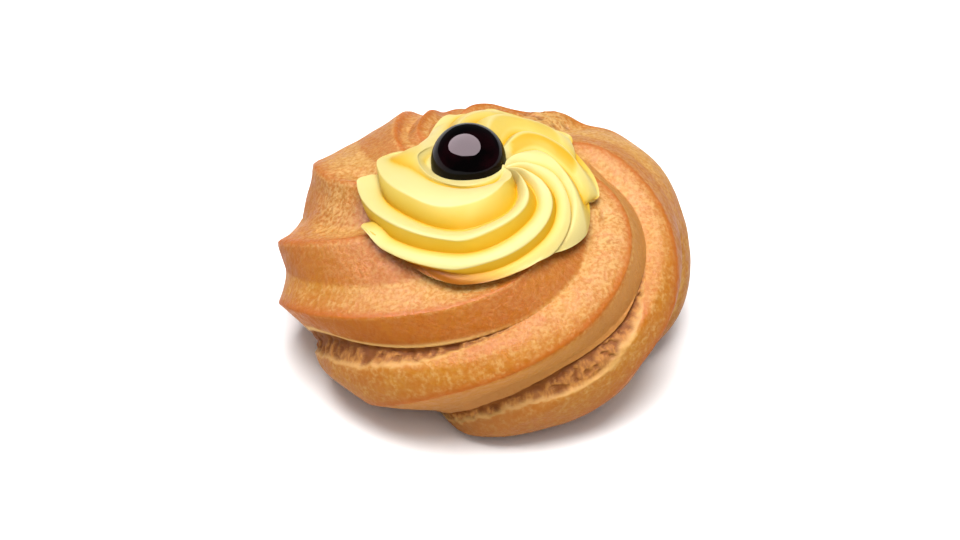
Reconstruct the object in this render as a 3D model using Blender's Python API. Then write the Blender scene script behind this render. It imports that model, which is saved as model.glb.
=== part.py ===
"""Baked choux pastry with piped swirling ridges, a piped cream rosette on top and one cherry.

Three solids in metres, +Z up, the pastry's flat underside on z = 0 and its axis on the Z axis:
  pastry  a ring-shaped bun with nine uneven ridges that climb anticlockwise from the tray to the top,
          and a shallow round dish in the middle of the top
  cream   a stepped rosette with nine ridges that wind inwards the same way, lying in the dish and
          over the shoulders, with a cup for the cherry
  cherry  a slightly flattened ball, sunk to about its middle in the cream
All tables below are in millimetres and degrees; azimuth 0 is +X and grows anticlockwise from above.
"""
import bpy
import bmesh
import numpy as np

MM = 0.001

# ---- pastry: the tube-shaped envelope that the ridge crests touch
RING_RADIUS = 21.4          # plan radius of the highest line
TUBE_WIDTH = 28.9           # from that line out to the widest line
HALF_HEIGHT = 23.0          # the widest line stands this high, the top twice this
LOW_POWER = 2.64            # fullness of the section below the widest line
HIGH_POWER = 1.93           # and above it
BASE_ANGLE = -64.0          # where the section meets the tray
DISH_DEPTH = 7.0

# Each ridge: the azimuth of its crest at the section angles of CREST_ANGLES, then for the furrow that
# follows it anticlockwise: depth low and high, place of the crease low and high (fraction of the gap),
# steepness of the face under the crest, how much of a lip the next ridge shows above the crease,
# how round the furrow is, how far the crest is lifted near the top, how far the foot spreads.
CREST_ANGLES = (-60.0, -30.0, 0.0, 30.0, 60.0, 88.0)
PASTRY_RIDGES = (
    ((146, 156, 173, 192, 212, 228), 2.9, 2.6, 0.45, 0.50, 1.6, 0.00, 1.0, 0.0, 0.0),
    ((166, 182, 203.5, 236, 281, 312), 4.6, 3.0, 0.26, 0.51, 1.3, 0.45, 0.0, 0.0, 0.0),
    ((216, 238, 265.5, 302.5, 338.5, 368), 5.0, 3.4, 0.31, 0.55, 1.25, 0.90, 0.0, 0.0, 1.8),
    ((284, 303, 325.5, 344.5, 372.5, 400), 4.8, 1.2, 0.56, 0.34, 1.4, 0.30, 0.2, 0.0, 0.0),
    ((346, 362, 377, 400, 434, 460), 2.6, 3.0, 0.45, 0.50, 1.5, 0.00, 0.3, 1.2, 0.0),
    ((382, 396, 411, 430, 457, 480), 2.4, 1.8, 0.45, 0.50, 1.5, 0.00, 0.4, 0.3, 0.0),
    ((408, 424, 439, 457, 472, 494), 2.4, 1.6, 0.45, 0.50, 1.5, 0.00, 0.5, 0.4, 0.0),
    ((434, 448, 462, 471, 485, 510), 2.8, 1.3, 0.45, 0.50, 1.5, 0.00, 0.6, 1.0, 0.0),
    ((466, 478, 495, 511.5, 534.5, 555), 4.4, 4.0, 0.62, 0.62, 1.5, 0.00, 1.0, 1.8, 0.0),
)
# Local sags, also across crests: azimuth, half width, section angles where each starts and is full, depth.
PASTRY_SAGS = (
    (28, 14, 5, 28, -1.2),
    (54, 6, 25, 50, 2.0),
    (76, 9, 25, 50, 2.0),
    (103, 6, 25, 50, 2.0),
    (173, 6, -15, 5, 1.1),
    (226, 14, -22, -42, 1.9),
    (252, 8, -35, -50, 2.4),
    (312, 12, -15, -35, -1.0),
    (336, 13, -5, -25, 1.2),
)
PASTRY_COLUMNS = (0.0, 0.10, 0.22, 0.36, 0.50, 0.66, 0.83)
PASTRY_ROWS = 30
DISH_ROWS = 5

# ---- cream: a domed rosette whose swirl centre lies to the right of its outline's centre
CREAM_CENTRE = (-2.7, -5.0)
SWIRL_CENTRE = (4.2, -9.0)
CREAM_RADIUS = 31.0
CREAM_FLAT = 8.0            # radius of the nearly level middle
CREAM_RIM_HEIGHT = 43.0
CREAM_DOME = 13.0
CREAM_POWER = 1.9
# Each ridge from its tip on the rim to the swirl centre. At the fractions RIDGE_STEPS of its length:
# azimuth, then level on the dome (0 swirl centre, 1 edge of the middle, 2 widest line). For the step on
# its outer side: place of the crease at the fractions CREASE_STEPS (0 this crest, 1 the next ridge), its
# depth, and the power of the fall from the crest (under 1 drops at once, over 1 rounds the crest).
RIDGE_STEPS = (0.0, 0.15, 0.30, 0.45, 0.60, 0.75, 0.88, 1.0)
CREASE_STEPS = (0.04, 0.25, 0.45, 0.60, 0.75, 0.88)
CREAM_RIDGES = (
    ((157, 180, 211, 238, 261, 283, 301, 325), (1.60, 1.52, 1.40, 1.33, 1.19, 1.00, 0.76, 0),
     (0.55, 0.64, 0.64, 0.64, 0.62, 0.60), 3.2, 1.1),
    ((178, 202, 231, 258, 278, 301, 314, 337), (1.77, 1.71, 1.63, 1.58, 1.45, 1.29, 1.05, 0),
     (0.80, 0.57, 0.54, 0.47, 0.45, 0.45), 2.3, 0.75),
    ((208, 228, 254, 276, 298, 318, 332, 354), (2.01, 1.92, 1.88, 1.76, 1.63, 1.42, 1.09, 0),
     (0.50, 0.37, 0.42, 0.45, 0.42, 0.40), 1.8, 0.75),
    ((258, 275, 292, 306, 320, 334, 352, 394), (2.14, 2.05, 1.99, 1.88, 1.70, 1.42, 1.10, 0),
     (0.45, 0.40, 0.40, 0.35, 0.33, 0.33), 1.9, 0.9),
    ((329, 331, 334, 339, 346, 358, 386, 440), (1.94, 1.79, 1.66, 1.53, 1.40, 1.27, 1.09, 0),
     (0.84, 0.45, 0.42, 0.40, 0.36, 0.33), 2.2, 1.1),
    ((354, 355, 360, 368, 379, 394, 420, 478), (1.88, 1.73, 1.60, 1.51, 1.45, 1.33, 1.18, 0),
     (0.84, 0.50, 0.42, 0.38, 0.36, 0.33), 2.2, 1.2),
    ((402, 401, 403, 408, 416, 426, 440, 505), (1.88, 1.68, 1.60, 1.56, 1.54, 1.47, 1.43, 0),
     (0.50, 0.50, 0.50, 0.50, 0.50, 0.50), 2.2, 1.2),
    ((440, 441, 443, 447, 455, 467, 484, 560), (1.93, 1.80, 1.66, 1.53, 1.43, 1.36, 1.25, 0),
     (0.50, 0.50, 0.50, 0.50, 0.50, 0.50), 1.8, 1.2),
    ((466, 480, 498, 518, 539, 566, 600, 635), (1.88, 1.72, 1.50, 1.28, 1.24, 1.18, 1.06, 0),
     (0.60, 0.45, 0.30, 0.22, 0.22, 0.22), 0.9, 1.4),
)
CREAM_OUTLINE = (
    (143, 156, 168, 178, 208, 236, 252, 266, 280, 300, 332, 355, 375, 403, 430, 450, 460, 466, 477, 488, 501),
    (23.9, 26.9, 29.7, 29.4, 29.4, 30.3, 30.9, 32.3, 32.4, 31, 29.8, 29.2, 28.8, 30.7, 31.4, 32, 31, 29.4,
     26.2, 24, 23.6),
)
CHERRY_DENT = 1.3           # how far the cream is pressed down beside the cherry
CREAM_COLUMNS = (0.0, 0.2, 0.4, 0.6, 0.8)
CREAM_ROWS = 25
CREAM_BED_ROWS = 5

# ---- cherry
CHERRY_CENTRE = (-3.8, -5.0, 54.4)
CHERRY_RADIUS = 8.85
CHERRY_FLATTEN = 0.98

CLEARANCE = 0.35            # gap left between neighbouring solids


def smooth(start, end, x):
    """Smoothstep from 0 at start to 1 at end."""
    t = np.clip((x - start) / (end - start), 0, 1)
    return t * t * (3 - 2 * t)


def through(knots, values, x):
    """Monotone cubic curve through (knots, values), held level beyond both ends."""
    knots = np.asarray(knots, float)
    values = np.asarray(values, float)
    step = np.diff(knots)
    slope = np.diff(values) / step
    tangent = np.concatenate([slope[:1], slope[1:], slope[-1:]])
    inner = slope[1:] * slope[:-1]
    total = np.where(slope[1:] + slope[:-1] == 0, 1, slope[1:] + slope[:-1])
    tangent[1:-1] = np.where(inner > 0, 2 * inner / total, 0)
    x = np.clip(x, knots[0], knots[-1])
    i = np.clip(np.searchsorted(knots, x, side="right") - 1, 0, len(step) - 1)
    q = (x - knots[i]) / step[i]
    rise = (1 + 2 * q) * (1 - q) ** 2 * values[i] + q * q * (3 - 2 * q) * values[i + 1]
    return rise + step[i] * (q * (1 - q) ** 2 * tangent[i] + q * q * (q - 1) * tangent[i + 1])


def section(angle):
    """Radius and height of the pastry's crest envelope at a section angle in radians."""
    c, s = np.cos(angle), np.sin(angle)
    power = np.where(s < 0, LOW_POWER, HIGH_POWER)
    k = (np.abs(c) ** power + np.abs(s) ** power) ** (-1 / power)
    return RING_RADIUS + TUBE_WIDTH * c * k, HALF_HEIGHT * (1 + s * k)


def section_normal(angle):
    """Outward normal (radial, upward) of the envelope at a section angle in radians."""
    r0, z0 = section(angle)
    r1, z1 = section(angle + 0.001)
    length = np.hypot(r1 - r0, z1 - z0)
    return (z1 - z0) / length, (r0 - r1) / length


def furrow(u, crease, steep, lip, roundness):
    """Depth across one gap, 0 at both crests and 1 in the crease: it drops steeply under the first
    crest and comes up again as a rounded face, with a lip, or as a round flute."""
    s = np.clip((u - crease) / (1 - crease), 0, 1)
    drop = 1 - (1 - np.clip(u / crease, 0, 1)) ** steep
    plain = (1 - s) ** 1.7
    lipped = 1 - 0.82 * smooth(0.10, 0.52, s) - 0.18 * s
    rise = (1 - roundness) * ((1 - lip) * plain + lip * lipped) + roundness * (1 - s ** 1.8)
    return np.where(u < crease, drop, rise)


def pastry_depth(gap, u, degrees):
    """Depth in mm below the envelope at fraction u of a gap, at a section angle in degrees."""
    this, after = PASTRY_RIDGES[gap], PASTRY_RIDGES[(gap + 1) % 9]
    high = smooth(-15, 45, degrees)
    depth = this[1] + (this[2] - this[1]) * high
    depth = depth * (1 + 0.28 * np.clip((-degrees - 28) / 15, 0, 1))
    crease = this[3] + (this[4] - this[3]) * high
    wave = furrow(u, crease, this[5], this[6] * (1 - smooth(5, 45, degrees)), this[7])
    lift = this[8] * np.clip(1 - 4 * u, 0, 1) ** 2 + after[8] * np.clip(4 * u - 3, 0, 1) ** 2
    sag = 0
    before, after_crest = crest_azimuths(gap, degrees)
    azimuth = before + (after_crest - before) * u
    for place, width, start, full, amount in PASTRY_SAGS:
        away = (azimuth - place + 180) % 360 - 180
        share = np.clip((degrees - start) / (full - start), 0, 1)
        sag = sag + amount * np.exp(-(away / width) ** 2) * share * share * (3 - 2 * share)
    under_cream = 1 - smooth(72, 90, degrees)
    return (depth * wave - lift * smooth(20, 45, degrees) + sag) * under_cream


def crest_azimuths(gap, degrees):
    """Azimuths of the crest before and after a gap at a section angle."""
    before = through(CREST_ANGLES, PASTRY_RIDGES[gap][0], degrees)
    after = through(CREST_ANGLES, PASTRY_RIDGES[(gap + 1) % 9][0], degrees)
    return before, after + (360 if gap == 8 else 0)


def pastry_strip(gap, u, degrees):
    """Surface points of one gap: the envelope pushed in by the furrow, straight inwards below the
    widest line so that the underside stays level, with the foot spread on the tray."""
    before, after = crest_azimuths(gap, degrees)
    azimuth = np.radians(before + (after - before) * u)
    depth = pastry_depth(gap, u, degrees)
    angle = np.radians(degrees)
    r, z = section(angle)
    nr, nz = section_normal(angle)
    low = np.clip(-degrees / 25, 0, 1)
    r = r - depth * (nr * (1 - low) + low)
    z = z - depth * nz * (1 - low)
    crease = PASTRY_RIDGES[gap][3]
    foot = np.clip((-degrees - 32) / 18, 0, 1) * smooth(crease, crease + 0.2, u)
    r = r + PASTRY_RIDGES[gap][9] * foot * (1 - smooth(0.75, 1.0, u))
    lowest = section(np.radians(BASE_ANGLE))[1]
    z = z - lowest * (np.clip(HALF_HEIGHT - z, 0, None) / (HALF_HEIGHT - lowest)) ** 2
    return np.stack([r * np.cos(azimuth), r * np.sin(azimuth), z], -1)


def dish(r):
    """Height of the round dish inside the highest line."""
    return 2 * HALF_HEIGHT - DISH_DEPTH * (1 - np.clip(r / RING_RADIUS, 0, 1) ** 2) ** 2


def pastry_height(x, y):
    """Height of the pastry's upper surface above a plan point."""
    radius, azimuth = np.hypot(x, y), np.degrees(np.arctan2(y, x))
    envelope = radius.copy()
    for _ in range(4):
        q = np.clip((envelope - RING_RADIUS) / TUBE_WIDTH, 0, 0.999)
        p = (1 - q ** HIGH_POWER) ** (1 / HIGH_POWER)
        degrees = np.degrees(np.arctan2(p, q))
        first = crest_azimuths(0, degrees)[0]
        turn = (azimuth - first) % 360
        depth = np.zeros_like(radius)
        for gap in range(9):
            before, after = crest_azimuths(gap, degrees)
            u = (turn - before + first) / (after - before)
            inside = (u >= 0) & (u < 1)
            depth = np.where(inside, pastry_depth(gap, np.clip(u, 0, 1), degrees), depth)
        nr, nz = section_normal(np.radians(degrees))
        envelope = radius + depth * nr
    outer = HALF_HEIGHT * (1 + p) - depth * nz
    return np.where(radius < RING_RADIUS, dish(radius), outer)


def cream_bed(x, y):
    """Height of the cream's underside: clear of the pastry's highest point close by."""
    highest = pastry_height(x, y)
    for way in np.radians(np.arange(0, 360, 60)):
        highest = np.maximum(highest, pastry_height(x + 2 * np.cos(way), y + 2 * np.sin(way)))
    return highest + CLEARANCE + 0.1


def cream_strip(gap, u, along):
    """Upper surface between two ridges of the rosette: a dome stepped down outside each crest, its
    circles sliding from the swirl centre to the outline's centre, kept clear of the pastry."""
    this, after = CREAM_RIDGES[gap], CREAM_RIDGES[(gap + 1) % 9]
    near = through(RIDGE_STEPS, this[0], along)
    far = through(RIDGE_STEPS, after[0], along) + (360 if gap == 8 else 0)
    degrees = near + (far - near) * u
    low, high = through(RIDGE_STEPS, this[1], along), through(RIDGE_STEPS, after[1], along)
    level = low + (high - low) * u
    azimuth = np.radians(degrees)
    angle = np.radians(90 * (2 - np.maximum(level, 1)))
    c, s = np.cos(angle), np.sin(angle)
    k = (np.abs(c) ** CREAM_POWER + np.abs(s) ** CREAM_POWER) ** (-1 / CREAM_POWER)
    first = CREAM_OUTLINE[0][0]
    outline = through(*CREAM_OUTLINE, (degrees - first) % 360 + first)
    radius = np.where(level < 1, level * CREAM_FLAT, CREAM_FLAT + (outline - CREAM_FLAT) * c * k)
    height = CREAM_RIM_HEIGHT + CREAM_DOME * np.where(level < 1, 1, s * k)
    crease = through(CREASE_STEPS, this[2], along)
    step = np.where(u < crease, (u / crease) ** this[4], np.clip((1 - u) / (1 - crease), 0, 1) ** 2)
    step = step * this[3] * smooth(1.0, 0.93, along) * (1.5 - 0.5 * smooth(0, 0.2, along))
    radius = radius - step * np.where(level < 1, 0, c)
    height = height - step * np.where(level < 1, 1, s)
    share = radius / CREAM_RADIUS
    x = SWIRL_CENTRE[0] + (CREAM_CENTRE[0] - SWIRL_CENTRE[0]) * share + radius * np.cos(azimuth)
    y = SWIRL_CENTRE[1] + (CREAM_CENTRE[1] - SWIRL_CENTRE[1]) * share + radius * np.sin(azimuth)
    beside = np.clip(np.hypot(x - CHERRY_CENTRE[0], y - CHERRY_CENTRE[1]) - CHERRY_RADIUS, 0, None)
    height = height - CHERRY_DENT * np.exp(-(beside / 3.2) ** 2)
    return np.stack([x, y, np.maximum(height, cream_bed(x, y) + 1.2)], -1)


def grid(strip, columns, rows):
    """Points of a whole swirl, one column after another anticlockwise, rows along the section."""
    u = np.asarray(columns)[:, None]
    rows = np.asarray(rows)[None]
    return np.concatenate([strip(gap, u + 0 * rows, rows + 0 * u) for gap in range(9)])


def solid(name, rings, low_pole=None, high_pole=None):
    """Closed body from rings of points (column, row, xyz): a pole point or a flat cap closes an end."""
    count, rows = rings.shape[:2]
    mesh = bmesh.new()
    verts = [[mesh.verts.new(rings[c, r] * MM) for r in range(rows)] for c in range(count)]
    for c in range(count):
        d = (c + 1) % count
        for r in range(rows - 1):
            mesh.faces.new((verts[c][r], verts[d][r], verts[d][r + 1], verts[c][r + 1]))
    for pole, row, flip in ((low_pole, 0, True), (high_pole, rows - 1, False)):
        ring = [verts[c][row] for c in range(count)]
        if pole is None:
            mesh.faces.new(ring[::-1] if flip else ring)
            continue
        tip = mesh.verts.new(np.asarray(pole) * MM)
        for c in range(count):
            pair = (ring[c], ring[(c + 1) % count])
            mesh.faces.new((tip, pair[1], pair[0]) if flip else (tip, pair[0], pair[1]))
    bmesh.ops.recalc_face_normals(mesh, faces=mesh.faces[:])
    bmesh.ops.triangulate(mesh, faces=mesh.faces[:])
    data = bpy.data.meshes.new(name)
    mesh.to_mesh(data)
    mesh.free()
    body = bpy.data.objects.new(name, data)
    bpy.context.scene.collection.objects.link(body)
    return body


def ball(name, extra):
    """The cherry's ball, made larger all round by extra."""
    azimuth = np.radians(np.arange(0, 360, 12))[:, None]
    angle = np.radians(np.linspace(-90, 90, 17)[1:-1])[None]
    radius = CHERRY_RADIUS + extra
    tall = CHERRY_RADIUS * CHERRY_FLATTEN + extra
    x, y, z = CHERRY_CENTRE
    flat = radius * np.cos(angle)
    rise = tall * np.sin(angle) + 0 * azimuth
    rings = np.stack([x + flat * np.cos(azimuth), y + flat * np.sin(azimuth), z + rise], -1)
    return solid(name, rings, (x, y, z - tall), (x, y, z + tall))


def paint(body, name, colour, roughness):
    """Give a body its own Principled material."""
    material = bpy.data.materials.new(name)
    material.use_nodes = True
    shader = material.node_tree.nodes["Principled BSDF"]
    shader.inputs["Base Color"].default_value = (*colour, 1.0)
    shader.inputs["Roughness"].default_value = roughness
    body.data.materials.clear()
    body.data.materials.append(material)


def make_pastry():
    """Ridged bun with its flat base and the dish in the top."""
    rings = grid(pastry_strip, PASTRY_COLUMNS, np.linspace(BASE_ANGLE, 90, PASTRY_ROWS))
    azimuth = np.arctan2(rings[:, -1, 1], rings[:, -1, 0])[:, None]
    radius = RING_RADIUS * np.linspace(1, 0, DISH_ROWS + 1)[None, 1:-1]
    height = dish(radius) + 0 * azimuth
    inside = np.stack([radius * np.cos(azimuth), radius * np.sin(azimuth), height], -1)
    rings = np.concatenate([rings, inside], 1)
    return solid("pastry", rings, None, (0, 0, 2 * HALF_HEIGHT - DISH_DEPTH))


def make_cream():
    """Rosette with a bed that follows the pastry and a cup that holds the cherry."""
    top = grid(cream_strip, CREAM_COLUMNS, np.linspace(0, 0.985, CREAM_ROWS))
    middle = np.asarray(CREAM_CENTRE)
    edge = top[:, :1, :2]
    share = np.append(np.linspace(0, 0.9, CREAM_BED_ROWS)[1:], 0.96)[None, :, None]
    plan = middle + (edge - middle) * share
    bed = cream_bed(plan[..., 0], plan[..., 1])[..., None]
    under = np.concatenate([plan, bed], -1)
    low = (*middle, float(cream_bed(middle[:1] + 0.0, middle[1:] + 0.0)[0]))
    crown = (*SWIRL_CENTRE, CREAM_RIM_HEIGHT + CREAM_DOME)
    body = solid("cream", np.concatenate([under, top], 1), low, crown)
    cutter = ball("cup_cutter", CLEARANCE)
    cut = body.modifiers.new("cup", "BOOLEAN")
    cut.operation, cut.solver, cut.object = "DIFFERENCE", "EXACT", cutter
    bpy.context.view_layer.update()
    graph = bpy.context.evaluated_depsgraph_get()
    hollowed = bpy.data.meshes.new_from_object(body.evaluated_get(graph))
    body.modifiers.clear()
    body.data = hollowed
    body.data.name = "cream"
    bpy.data.objects.remove(cutter)
    return body


for leftover in list(bpy.data.objects):
    bpy.data.objects.remove(leftover)
pastry = make_pastry()
paint(pastry, "baked_crust", (0.62, 0.30, 0.09), 0.55)
cream = make_cream()
paint(cream, "custard_cream", (0.93, 0.80, 0.32), 0.40)
cherry = ball("cherry", 0.0)
paint(cherry, "dark_cherry", (0.02, 0.004, 0.008), 0.08)
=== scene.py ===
# %% [markdown]
# A zeppola is a bun of choux pastry, piped in a swirl through a star nozzle and baked, with a rosette of
# custard cream and a cherry in syrup on top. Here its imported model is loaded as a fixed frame, and each
# of its three solids gets a detailed surface in its place. The lesson works in millimetres and degrees,
# as a baker would measure, and turns them into metres at the moment a mesh is made. Azimuth 0 is +X and
# grows anticlockwise seen from above.

# %% Load the frame
import math

import bpy
import numpy as np
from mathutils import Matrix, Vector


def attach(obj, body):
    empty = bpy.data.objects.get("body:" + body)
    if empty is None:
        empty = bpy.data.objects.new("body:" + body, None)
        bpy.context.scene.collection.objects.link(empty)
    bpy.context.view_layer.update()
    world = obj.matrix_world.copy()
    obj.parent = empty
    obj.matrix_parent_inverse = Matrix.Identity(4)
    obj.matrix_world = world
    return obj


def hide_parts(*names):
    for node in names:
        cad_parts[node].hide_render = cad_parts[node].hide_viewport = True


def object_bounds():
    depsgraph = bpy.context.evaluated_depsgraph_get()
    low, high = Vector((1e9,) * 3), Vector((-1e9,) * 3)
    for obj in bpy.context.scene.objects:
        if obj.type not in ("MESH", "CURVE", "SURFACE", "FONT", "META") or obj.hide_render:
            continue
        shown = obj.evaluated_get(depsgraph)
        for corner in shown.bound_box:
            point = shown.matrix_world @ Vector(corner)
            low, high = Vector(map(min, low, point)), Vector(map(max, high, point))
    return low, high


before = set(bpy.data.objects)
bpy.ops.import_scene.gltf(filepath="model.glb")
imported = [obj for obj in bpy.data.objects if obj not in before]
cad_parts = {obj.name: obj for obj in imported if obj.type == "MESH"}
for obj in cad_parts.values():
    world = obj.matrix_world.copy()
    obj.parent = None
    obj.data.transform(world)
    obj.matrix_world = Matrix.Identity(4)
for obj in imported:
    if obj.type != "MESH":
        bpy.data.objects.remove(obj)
CAD_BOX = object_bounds()
MM = 0.001
print("nodes:", sorted(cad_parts), "box in mm:", [[round(v / MM, 1) for v in c] for c in CAD_BOX])

# %% [markdown]
# The photograph looks down on the bun from 38 degrees, from about three quarters of a metre away. A long
# lens keeps the near ridges from swelling. The camera comes first, so that every later step can be
# looked at from the place that matters most.

# %% Camera
CAMERA_PLACE = (0.0, -0.609, 0.476)
CAMERA_TARGET = (-0.0012, 0.0094, 0.0120)
lens = bpy.data.cameras.new("camera")
lens.lens, lens.sensor_width = 120.0, 36.0
lens.clip_start, lens.clip_end = 0.01, 20.0
camera = bpy.data.objects.new("camera", lens)
bpy.context.scene.collection.objects.link(camera)
aim = np.subtract(CAMERA_TARGET, CAMERA_PLACE)
aim = aim / np.linalg.norm(aim)
camera.location = CAMERA_PLACE
camera.rotation_euler = (math.acos(-aim[2]), 0.0, math.atan2(-aim[0], aim[1]))
bpy.context.scene.camera = camera
print(f"camera looks down {math.degrees(math.asin(-aim[2])):.1f} degrees")

# %% [markdown]
# Three small helpers carry the whole shape. A smoothstep fades one thing into another, a monotone cubic
# passes a curve through a few chosen values without overshooting, and value noise gives the unevenness
# of anything baked. The noise comes from a seeded table, so each run makes the same bun.

# %% Curves and noise
LATTICE = np.random.default_rng(11).random((32, 32, 32))


def smooth(start, end, x):
    """Smoothstep: 3 t squared minus 2 t cubed, where t goes from 0 at start to 1 at end."""
    t = np.clip((x - start) / (end - start), 0, 1)
    return t * t * (3 - 2 * t)


def through(knots, values, x):
    """Cubic Hermite curve through (knots, values). The tangent at a knot is the harmonic mean of the two
    slopes beside it, and 0 at a peak, so the curve never overshoots."""
    knots, values = np.asarray(knots, float), np.asarray(values, float)
    step = np.diff(knots)
    slope = np.diff(values) / step
    tangent = np.concatenate([slope[:1], slope[1:], slope[-1:]])
    inner = slope[1:] * slope[:-1]
    total = np.where(slope[1:] + slope[:-1] == 0, 1, slope[1:] + slope[:-1])
    tangent[1:-1] = np.where(inner > 0, 2 * inner / total, 0)
    x = np.clip(x, knots[0], knots[-1])
    i = np.clip(np.searchsorted(knots, x, side="right") - 1, 0, len(step) - 1)
    q = (x - knots[i]) / step[i]
    rise = (1 + 2 * q) * (1 - q) ** 2 * values[i] + q * q * (3 - 2 * q) * values[i + 1]
    return rise + step[i] * (q * (1 - q) ** 2 * tangent[i] + q * q * (q - 1) * tangent[i + 1])


def noise(points, size):
    """Value noise from 0 to 1: random numbers on a cubic lattice of the given size, blended with
    smoothstep weights from the eight corners of the cell that holds each point."""
    place = points / size
    cell = np.floor(place).astype(int)
    part = place - cell
    part = part * part * (3 - 2 * part)
    total = 0
    for corner in np.ndindex(2, 2, 2):
        weight = np.prod(np.where(corner, part, 1 - part), -1)
        i, j, k = np.moveaxis((cell + corner) % 32, -1, 0)
        total = total + weight * LATTICE[i, j, k]
    return total


# %% [markdown]
# A surface here is a grid of points: columns run round the bun and rows run up it. One helper turns such
# a grid into a closed mesh. It wraps the last column round to the first and closes both ends with a fan
# of triangles, and it stores masks on the vertices, which the materials read later as attributes.

# %% From a grid to a mesh


def skin(name, rings, low_pole, high_pole, masks):
    """Quad (c, r) joins grid points (c, r), (c+1, r), (c+1, r+1) and (c, r+1), so with columns
    anticlockwise and rows upwards every face points outwards. The poles close the first and last row."""
    columns, rows = rings.shape[:2]
    points = np.concatenate([rings.reshape(-1, 3), [low_pole], [high_pole]]) * MM
    index = np.arange(columns * rows).reshape(columns, rows)
    ahead = np.roll(index, -1, axis=0)
    quads = np.stack([index[:, :-1], ahead[:, :-1], ahead[:, 1:], index[:, 1:]], -1).reshape(-1, 4)
    pole = np.full(columns, columns * rows)
    fans = np.concatenate([
        np.stack([ahead[:, 0], index[:, 0], pole], -1),
        np.stack([index[:, -1], ahead[:, -1], pole + 1], -1),
    ])
    mesh = bpy.data.meshes.new(name)
    mesh.from_pydata(points, [], quads.tolist() + fans.tolist())
    mesh.shade_smooth()
    for mask, values in masks.items():
        layer = mesh.attributes.new(mask, "FLOAT", "POINT")
        layer.data.foreach_set("value", np.append(values.ravel(), (0, 0)).astype(np.float32))
    mesh.update()
    piece = bpy.data.objects.new(name, mesh)
    bpy.context.scene.collection.objects.link(piece)
    print(f"{name}: {columns} columns, {rows} rows, {2 * len(quads) + len(fans)} triangles")
    return piece


# %% [markdown]
# The bun is a fat ring that closed up in the middle as it was piped. Its section is a superellipse, and
# nine ridges climb round it from the tray to the top. Each ridge is one line of azimuths, and the furrow
# after it has a crease nearer to one side, because the ridges lean over each other like rope. A few local
# sags run across the ridges, where the soft dough gave way. The same numbers shape the plain solid in the
# frame, so the detailed surface lies on it.

# %% Ridges of the pastry
RING_RADIUS, TUBE_WIDTH, HALF_HEIGHT = 21.4, 28.9, 23.0
LOW_POWER, HIGH_POWER = 2.64, 1.93
BASE_ANGLE, DISH_DEPTH = -64.0, 7.0
CREST_ANGLES = (-60, -30, 0, 30, 60, 88)
CREST_AZIMUTHS = np.array((
    (146, 156, 173, 192, 212, 228),
    (166, 182, 203.5, 236, 281, 312),
    (216, 238, 265.5, 302.5, 338.5, 368),
    (284, 303, 325.5, 344.5, 372.5, 400),
    (346, 362, 377, 400, 434, 460),
    (382, 396, 411, 430, 457, 480),
    (408, 424, 439, 457, 472, 494),
    (434, 448, 462, 471, 485, 510),
    (466, 478, 495, 511.5, 534.5, 555),
))
DEPTH_LOW = np.array((2.9, 4.6, 5.0, 4.8, 2.6, 2.4, 2.4, 2.8, 4.4))
DEPTH_HIGH = np.array((2.6, 3.0, 3.4, 1.2, 3.0, 1.8, 1.6, 1.3, 4.0))
CREASE_LOW = np.array((0.45, 0.26, 0.31, 0.56, 0.45, 0.45, 0.45, 0.45, 0.62))
CREASE_HIGH = np.array((0.50, 0.51, 0.55, 0.34, 0.50, 0.50, 0.50, 0.50, 0.62))
STEEP = np.array((1.6, 1.3, 1.25, 1.4, 1.5, 1.5, 1.5, 1.5, 1.5))
LIP = np.array((0.0, 0.45, 0.90, 0.30, 0.0, 0.0, 0.0, 0.0, 0.0))
ROUND = np.array((1.0, 0.0, 0.0, 0.2, 0.3, 0.4, 0.5, 0.6, 1.0))
LIFT = np.array((0.0, 0.0, 0.0, 0.0, 1.2, 0.3, 0.4, 1.0, 1.8))
FOOT = np.array((0.0, 0.0, 1.8, 0.0, 0.0, 0.0, 0.0, 0.0, 0.0))
SAGS = (
    (28, 14, 5, 28, -1.2),
    (54, 6, 25, 50, 2.0),
    (76, 9, 25, 50, 2.0),
    (103, 6, 25, 50, 2.0),
    (173, 6, -15, 5, 1.1),
    (226, 14, -22, -42, 1.9),
    (252, 8, -35, -50, 2.4),
    (312, 12, -15, -35, -1.0),
    (336, 13, -5, -25, 1.2),
)


def section(degrees):
    """Superellipse: |x| to a power plus |y| to the same power is 1, with one power for the lower half and
    one for the upper. Gives the radius and height of the crests' envelope."""
    c, s = np.cos(np.radians(degrees)), np.sin(np.radians(degrees))
    power = np.where(s < 0, LOW_POWER, HIGH_POWER)
    k = (np.abs(c) ** power + np.abs(s) ** power) ** (-1 / power)
    return RING_RADIUS + TUBE_WIDTH * c * k, HALF_HEIGHT * (1 + s * k)


def section_normal(degrees):
    """The section's direction turned a quarter to the right: outward in radius and height."""
    r0, z0 = section(degrees)
    r1, z1 = section(degrees + 0.06)
    length = np.hypot(r1 - r0, z1 - z0)
    return (z1 - z0) / length, (r0 - r1) / length


def crest_lines(degrees):
    """Azimuth of each crest at the section angles, and of the first one again, a turn further on."""
    lines = np.stack([through(CREST_ANGLES, row, degrees) for row in CREST_AZIMUTHS])
    return np.concatenate([lines, lines[:1] + 360])


def crease_place(gap, degrees):
    """Where the crease lies in a gap, as a fraction of the way to the next crest."""
    high = smooth(-15, 45, degrees)
    return CREASE_LOW[gap] + (CREASE_HIGH[gap] - CREASE_LOW[gap]) * high


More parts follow.
